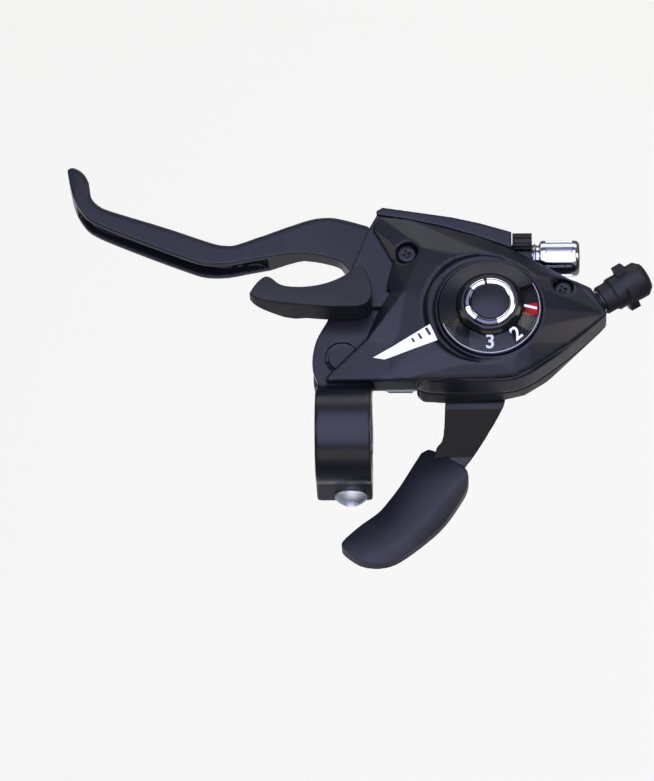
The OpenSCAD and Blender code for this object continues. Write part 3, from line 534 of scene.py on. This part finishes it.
brokenEdges = {
    "sharp": 35, "segments": 2,
    "radius": {"clamp_bolt": 0.3, "clamp_nut": 0.25, "adjuster_locknut": 0.2, "shift_adjuster": 0.35,
               "cover_screws": 0.12},
}


def breakEdges(nodeName, radiusMm):
    piece = cleanCopy(nodeName)
    pickEdges(piece, brokenEdges["sharp"], lambda middle: True)
    roundPicked(radiusMm, brokenEdges["segments"])
    standFor(piece, nodeName)


for nodeName, radius in brokenEdges["radius"].items():
    breakEdges(nodeName, radius)
print("fasteners and adjusters rounded")


# turned pieces: a line drawn by extruding one vertex, then spun

def drawLine(name, points):
    deselectAll()
    bpy.ops.mesh.primitive_plane_add(size=2 * mm, location=(0, 0, 0))
    piece = bpy.context.object
    piece.name = name
    bpy.ops.object.mode_set(mode="EDIT")
    bpy.ops.mesh.select_mode(type="VERT")
    bpy.ops.mesh.select_all(action="SELECT")
    bpy.ops.mesh.merge(type="CENTER")
    bpy.ops.transform.translate(value=points[0])
    for before, after in zip(points, points[1:]):
        step = [b - a for a, b in zip(before, after)]
        bpy.ops.mesh.extrude_vertices_move(TRANSFORM_OT_translate={"value": step})
    return piece


def turnedPiece(name, profile, steps, startDeg=0.0, sweepDeg=360.0):
    # profile: radius and height in millimetres; spun round Z
    across, aside = math.cos(math.radians(startDeg)), math.sin(math.radians(startDeg))
    points = [(radius * mm * across, radius * mm * aside, height * mm) for radius, height in profile]
    piece = drawLine(name, points)
    bpy.ops.mesh.select_all(action="SELECT")
    bpy.ops.mesh.spin(steps=steps, angle=-math.radians(sweepDeg), center=(0, 0, 0), axis=(0, 0, 1))
    bpy.ops.mesh.select_all(action="SELECT")
    bpy.ops.mesh.remove_doubles(threshold=seamGap * mm)
    if sweepDeg < 360:
        bpy.ops.mesh.fill_holes(sides=len(profile))
        bpy.ops.mesh.select_all(action="SELECT")
    bpy.ops.mesh.normals_make_consistent(inside=False)
    bpy.ops.object.mode_set(mode="OBJECT")
    return piece


def placeAt(piece, centreMm, alongX=False):
    piece.location = Vector(centreMm) * mm
    if alongX:
        piece.rotation_euler.y = math.radians(90)
    pick(piece)
    bpy.ops.object.transform_apply(location=True, rotation=True, scale=True)


def angleOf(centre):
    return math.degrees(math.atan2(centre.y, centre.x))


# dial: bezel, broken chrome ring, cap, clear window with a dark shroud beside it, rim, scale and figures

dial = {
    "centre": (47.0, 37.0, 16.2), "steps": 96,      # the profiles are radius and height from the centre
    "bezel": [(0, 3.8), (8.35, 3.8), (8.35, 4.75), (8.5, 4.95), (8.9, 5.0), (9.3, 4.85),
              (10.6, 3.55), (10.82, 3.2), (10.85, 2.9), (10.85, 1.95), (0, 0.5)],
    "ring": [(6.16, 3.8), (8.3, 3.8), (8.3, 4.95), (8.18, 5.25), (7.85, 5.45), (7.3, 5.5),
             (6.75, 5.48), (6.35, 5.32), (6.16, 5.05), (6.16, 3.8)],
    "cap": [(0, 3.8), (6.1, 3.8), (6.1, 4.85), (5.98, 5.08), (5.7, 5.2), (0, 5.28)],
    "rim": [(16.24, -0.7), (16.5, -0.7), (16.5, 0.28), (16.42, 0.42), (16.24, 0.5), (16.24, -0.7)],
    "skirt": [(16.22, -0.7), (16.22, 0.5), (16.1, 0.58), (10.92, 2.95), (10.92, 1.92), (14.9, -0.7),
              (16.22, -0.7)],
    "clearFrom": 201, "clearSweep": 190,            # the part of the skirt that is a clear window
    "scale": [(15.86, 0.7), (16.06, 0.61), (16.06, 0.65), (15.86, 0.74), (15.86, 0.7)],
    "pointer": [(11.2, -1.9), (15.4, -1.9), (15.4, -1.1), (15.2, -0.95), (11.4, -0.95), (11.2, -1.1),
                (11.2, -1.9)],
    "pointerFrom": -8, "pointerSweep": 16,
    "gaps": [(98, 104), (144, 147), (193, 196), (234, 237), (287, 290)],        # black gaps in the chrome
    "paintedDarkArcs": [(147, 193), (237, 287)],               # arcs where a dark reflection is painted into the chrome
    "figures": [("1", -3.0, 13.2), ("2", -50.0, 13.0), ("3", -90.0, 12.9)],     # angle and radius
    "figureSize": 6.2, "figureHeight": 1.98, "figureThick": 0.03, "figureBold": 0.12, "slopeDeg": 24.6,
}


def addedPiece(piece, name, materialKey, angle=35):
    # a detail that no CAD node has, on the fixed body
    settle(piece, name, materialKey, "frame", angle)


def dialPart(nodeName, part, materialKey, startDeg=0.0, sweepDeg=360.0):
    piece = turnedPiece(nodeName, dial[part], dial["steps"], startDeg, sweepDeg)
    placeAt(piece, dial["centre"])
    return standFor(piece, nodeName, materialKey, 40)


def dialDetail(name, part, materialKey, startDeg=0.0, sweepDeg=360.0):
    piece = turnedPiece(name, dial[part], dial["steps"], startDeg, sweepDeg)
    placeAt(piece, dial["centre"])
    addedPiece(piece, name, materialKey, 40)


def paintRing(ring):
    # black gaps, and arcs with a painted dark reflection, between the bright ones
    for key in ("glossAbs", "chromePaintedDark"):
        ring.data.materials.append(finish[key])
    middle = Vector(dial["centre"]) * mm
    for face in ring.data.polygons:
        angle = angleOf(face.center - middle) % 360
        for slot, arcs in ((1, dial["gaps"]), (2, dial["paintedDarkArcs"])):
            if any(low < angle < high for low, high in arcs):
                face.material_index = slot


def buildFigure(figure, angleDeg, radiusMm):
    # printed on the slope of the window, its foot outwards
    deselectAll()
    bpy.ops.object.text_add(location=(0, 0, 0))
    letters = bpy.context.object.data
    letters.body, letters.size = figure, dial["figureSize"] * mm
    letters.extrude, letters.offset = dial["figureThick"] * mm, dial["figureBold"] * mm
    letters.align_x, letters.align_y = "CENTER", "CENTER"
    bpy.ops.object.convert(target="MESH")
    piece = bpy.context.object
    x, y, z = dial["centre"]
    turn = math.radians(angleDeg)
    piece.rotation_euler = (math.radians(dial["slopeDeg"]), 0, turn + math.radians(90))
    placeAt(piece, (x + radiusMm * math.cos(turn), y + radiusMm * math.sin(turn), z + dial["figureHeight"]))
    addedPiece(piece, "dial_figure_" + figure, "whiteInk")


def buildDial():
    dialPart("dial_bezel", "bezel", "glossAbs")
    dialPart("dial_cap", "cap", "satinAbs")
    clearFrom, clearSweep = dial["clearFrom"], dial["clearSweep"]
    dialPart("dial_window", "skirt", "acrylic", clearFrom, clearSweep)
    dialDetail("dial_shroud", "skirt", "satinAbs", clearFrom + clearSweep, 360 - clearSweep)
    dialDetail("dial_rim", "rim", "satinAbs")
    dialDetail("dial_scale", "scale", "greyInk", clearFrom, clearSweep)
    dialPart("gear_pointer", "pointer", "redAbs", dial["pointerFrom"], dial["pointerSweep"])
    paintRing(dialPart("chrome_ring", "ring", "chrome"))
    for figure, angle, radius in dial["figures"]:
        buildFigure(figure, angle, radius)


buildDial()
print("dial built")


# brake adjuster: rolled thread, fluted nickel head

adjuster = {
    "axis": (0, 61.8, 0), "steps": 48, "bore": 1.0,
    "threadFrom": 45.0, "threadTo": 62.6, "pitch": 1.0, "crest": 4.95, "root": 4.4,
    "head": [(4.4, 62.8), (5.2, 63.0), (5.75, 63.4), (5.9, 64.0), (5.9, 65.0), (5.9, 73.6), (5.9, 74.5),
             (5.72, 75.2), (5.2, 75.75), (4.5, 76.0), (2.8, 76.0), (2.55, 75.75), (2.55, 67.2),
             (1.0, 67.0), (1.0, 45.0)],
    "flutes": 8, "fluteDepth": 0.75, "fluteEdge": 0.25, "fluteHalfDeg": 9,
    "fluteFrom": 65.0, "fluteTo": 73.6, "fluteOutside": 5.7,
}


def threadProfile():
    pitch, root, crest = adjuster["pitch"], adjuster["root"], adjuster["crest"]
    place = adjuster["threadFrom"]
    profile = [(adjuster["bore"], place), (root, place)]
    while place + pitch <= adjuster["threadTo"]:
        profile += [(crest, place + 0.45 * pitch), (crest, place + 0.55 * pitch), (root, place + pitch)]
        place += pitch
    return profile


def buildAdjuster():
    piece = turnedPiece("brake_adjuster", threadProfile() + adjuster["head"], adjuster["steps"])
    pitchDeg = 360 / adjuster["flutes"]

    def inFlute(centre, normal):
        outside = math.hypot(centre.x, centre.y) > adjuster["fluteOutside"]
        onHead = adjuster["fluteFrom"] < centre.z < adjuster["fluteTo"]
        offMiddle = abs((angleOf(centre) + pitchDeg / 2) % pitchDeg - pitchDeg / 2)
        return outside and onHead and offMiddle < adjuster["fluteHalfDeg"]

    pickFaces(piece, inFlute)
    bpy.ops.mesh.inset(thickness=adjuster["fluteEdge"] * mm, depth=-adjuster["fluteDepth"] * mm)
    bpy.ops.object.mode_set(mode="OBJECT")
    placeAt(piece, adjuster["axis"], True)
    standFor(piece, "brake_adjuster", "plated", 32)


buildAdjuster()
print("brake adjuster threaded and fluted")


# springs: round wire wound round each axis

springs = {
    "lever_return_spring": {"axis": (-0.5, 23.6), "radius": 5.6, "wire": 0.8, "turns": 1.3, "pitch": 0.84},
    "drum_spring": {"axis": (47, 37), "radius": 7.0, "wire": 1.0, "turns": 5.0, "pitch": 1.2},
    "release_spring": {"axis": (47, 37), "radius": 4.2, "wire": 0.8, "turns": 2.0, "pitch": 0.84},
    "thumb_spring": {"axis": (47, 37), "radius": 4.4, "wire": 0.6, "turns": 1.2, "pitch": 0.62},
    "drive_pawl_spring": {"axis": None, "radius": 2.5, "wire": 0.32, "turns": 1.3, "pitch": 0.34},
    "hold_pawl_spring": {"axis": None, "radius": 2.5, "wire": 0.32, "turns": 1.3, "pitch": 0.34},
}


wireShape = {"sides": 8, "stepsPerTurn": 28}


def windSpring(nodeName, shape):
    low, high = (Vector(corner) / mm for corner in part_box(nodeName))
    x, y = shape["axis"] or ((low.x + high.x) / 2, (low.y + high.y) / 2)
    turns, rise = shape["turns"], shape["pitch"] * shape["turns"]
    steps = int(wireShape["stepsPerTurn"] * turns)
    deselectAll()
    bpy.ops.mesh.primitive_circle_add(vertices=wireShape["sides"], radius=shape["wire"] / 2 * mm,
                                      location=(shape["radius"] * mm, 0, 0),
                                      rotation=(math.radians(90), 0, 0))
    piece = bpy.context.object
    pick(piece)
    bpy.ops.object.transform_apply(location=True, rotation=True, scale=True)
    applyModifier(piece, "SCREW", angle=math.radians(360 * turns), screw_offset=rise * mm, axis="Z",
                  iterations=1, steps=steps, render_steps=steps)
    pick(piece)
    bpy.ops.object.mode_set(mode="EDIT")
    bpy.ops.mesh.select_all(action="SELECT")
    bpy.ops.mesh.fill_holes(sides=12)
    bpy.ops.mesh.select_all(action="SELECT")
    bpy.ops.mesh.normals_make_consistent(inside=False)
    bpy.ops.object.mode_set(mode="OBJECT")
    placeAt(piece, (x, y, (low.z + high.z) / 2 - rise / 2))
    standFor(piece, nodeName, "springSteel", 60)


for nodeName, shape in springs.items():
    windSpring(nodeName, shape)
print("springs wound")


# wedge beside the dial: a bare white film with three plain strokes, one for each gear

wedge = {"lift": 0.03, "thick": 0.04, "turnDeg": 28.5, "corner": 0.2, "cuts": 6, "above": 40,
         "strokes": [((27.2, 29.1), 0.85, 2.9), ((24.6, 27.7), 0.75, 2.2), ((22.4, 26.5), 0.65, 1.6)]}


def buildStroke(number, place, wide, high):
    # a small plate laid down on to the film from above
    deselectAll()
    bpy.ops.mesh.primitive_plane_add(size=1 * mm, rotation=(0, 0, math.radians(wedge["turnDeg"])),
                                     location=(place[0] * mm, place[1] * mm, wedge["above"] * mm))
    piece = bpy.context.object
    piece.scale = (wide, high, 1)
    pick(piece)
    bpy.ops.object.transform_apply(location=True, rotation=True, scale=True)
    bpy.ops.object.mode_set(mode="EDIT")
    bpy.ops.mesh.select_all(action="SELECT")
    bpy.ops.mesh.bevel(offset=wedge["corner"] * mm, segments=3, affect="VERTICES")
    bpy.ops.mesh.quads_convert_to_tris()
    bpy.ops.mesh.subdivide(number_cuts=wedge["cuts"])
    bpy.ops.object.mode_set(mode="OBJECT")
    applyModifier(piece, "SHRINKWRAP", target=nodes["side_label"], wrap_method="PROJECT", use_project_z=True,
                  use_negative_direction=True, use_positive_direction=False, offset=wedge["lift"] * mm)
    applyModifier(piece, "SOLIDIFY", thickness=wedge["thick"] * mm, offset=1.0)
    addedPiece(piece, "gear_stroke_%d" % number, "glossAbs")


for number, (place, wide, high) in enumerate(wedge["strokes"]):
    buildStroke(number + 1, place, wide, high)
print("wedge marked")


# camera: the photograph is 654 by 781 pixels, at 0.32 mm to a pixel near the handlebar

view = {"mmPerPixel": 0.32, "high": 781, "elevation": 66.0, "azimuth": 4.0, "roll": -4.0, "sensor": 36,
        "distance": 2000 * mm, "target": (-5.3 * mm, 13.4 * mm, 5 * mm)}


def placeCamera():
    data = bpy.data.cameras.new("camera")
    camera = bpy.data.objects.new("camera", data)
    bpy.context.scene.collection.objects.link(camera)
    up, side = math.radians(view["elevation"]), math.radians(view["azimuth"])
    back = Vector((math.sin(side) * math.cos(up), -math.cos(side) * math.cos(up), math.sin(up)))
    camera.location = Vector(view["target"]) + back * view["distance"]
    roll = Matrix.Rotation(math.radians(view["roll"]), 4, "Z")
    camera.rotation_euler = (back.to_track_quat("Z", "Y").to_matrix().to_4x4() @ roll).to_euler()
    data.sensor_width = view["sensor"]
    data.lens = view["sensor"] * view["distance"] / (view["high"] * view["mmPerPixel"] * mm)
    data.clip_start, data.clip_end = 0.1, 20
    bpy.context.scene.camera = camera


placeCamera()


# studio: a pale floor well below the part, with a painted pool of light and a painted glow where the camera
# looks, soft boxes and a dim sky

studio = {      # in metres and watts
    # painted light on the floor: a bright pool fading to a painted shade beyond it, and a painted glow in the
    # pool
    "floor": "#f6f6f6", "floorPaintedShade": "#a0a0a2", "floorSize": 6.0, "floorDrop": 0.45,
    "paintedLightPool": (0.005, 0.225), "paintedLightPoolRadius": 0.44, "paintedLightPoolEdge": 0.42, "floorPaintedGlow": 0.215, "paintedGlowColour": "#fff582",
    "sky": 0.2, "skyColour": "#dfe4f2", "aim": (0.0, 0.03, 0.0),
    "lights": [     # name, width, height, power, place and colour
        ("softbox above", 0.9, 1.3, 12.0, (0.02, -0.08, 0.86), "#c9d0fb"),
        ("strip behind", 1.2, 0.5, 3.0, (0.0, 0.9, 0.32), "#ffffff"),
        ("softbox in front", 0.9, 0.4, 1.6, (0.1, -0.85, 0.3), "#fff6ea"),
        ("softbox left", 0.3, 0.6, 1.2, (-0.75, 0.0, 0.45), "#fff6ea"),
        ("softbox right", 0.25, 0.6, 1.8, (0.7, 0.1, 0.4), "#fff6ea"),
    ],
}


def buildFloor():
    deselectAll()
    low = cadLow[2] - studio["floorDrop"]
    bpy.ops.mesh.primitive_plane_add(size=studio["floorSize"], location=(0, 0, low))
    floor = bpy.context.object
    floor.name = "floor"
    material, tree, shader = startMaterial("pale paper floor", studio["floor"], 0.9)
    place = addGrain(tree, shader, 1.5, 0.02, strength=0.3)
    # painted light: the floor's base colour is bright in a pool where the camera looks and fades to grey
    # beyond it, and the pool glows though it is no lamp
    size = 1 / studio["paintedLightPoolRadius"]
    x, y = studio["paintedLightPool"]
    shift = addNode(tree, "ShaderNodeMapping", links={"Vector": place.outputs["Object"]},
                    inputs={"Location": (-x * size, -y * size, 0), "Scale": (size, size, size)})
    fall = addNode(tree, "ShaderNodeTexGradient", {"gradient_type": "SPHERICAL"},
                   links={"Vector": shift.outputs["Vector"]})
    paintedLightPool = addNode(tree, "ShaderNodeMapRange", {"interpolation_type": "SMOOTHSTEP"},
                   {"From Min": 0.0, "From Max": studio["paintedLightPoolEdge"]}, {"Value": fall.outputs["Fac"]})
    tone = addNode(tree, "ShaderNodeMix", {"data_type": "RGBA"},
                   {6: linear(studio["floorPaintedShade"]), 7: linear(studio["floor"])}, {0: paintedLightPool.outputs["Result"]})
    paintedGlow = addNode(tree, "ShaderNodeMath", {"operation": "MULTIPLY"}, {1: studio["floorPaintedGlow"]},
                   {0: paintedLightPool.outputs["Result"]})
    tree.links.new(tone.outputs[2], shader.inputs["Base Color"])
    tree.links.new(paintedGlow.outputs["Value"], shader.inputs["Emission Strength"])
    shader.inputs["Emission Color"].default_value = linear(studio["paintedGlowColour"])
    floor.data.materials.append(material)


def fillSky():
    world = bpy.data.worlds.new("studio")
    bpy.context.scene.world = world
    world.use_nodes = True
    sky = world.node_tree.nodes["Background"]
    sky.inputs["Color"].default_value = linear(studio["skyColour"])
    sky.inputs["Strength"].default_value = studio["sky"]


def addLight(name, wide, high, watts, place, colour):
    data = bpy.data.lights.new(name, "AREA")
    data.shape = "RECTANGLE"
    data.size, data.size_y, data.energy = wide, high, watts
    data.color = linear(colour)[:3]
    light = bpy.data.objects.new(name, data)
    bpy.context.scene.collection.objects.link(light)
    light.location = place
    light.rotation_euler = (Vector(place) - Vector(studio["aim"])).to_track_quat("Z", "Y").to_euler()


buildFloor()
fillSky()
for light in studio["lights"]:
    addLight(*light)

# plain white and deep black, as in a catalogue picture
bpy.context.scene.view_settings.view_transform = "Standard"
print("camera and studio placed")
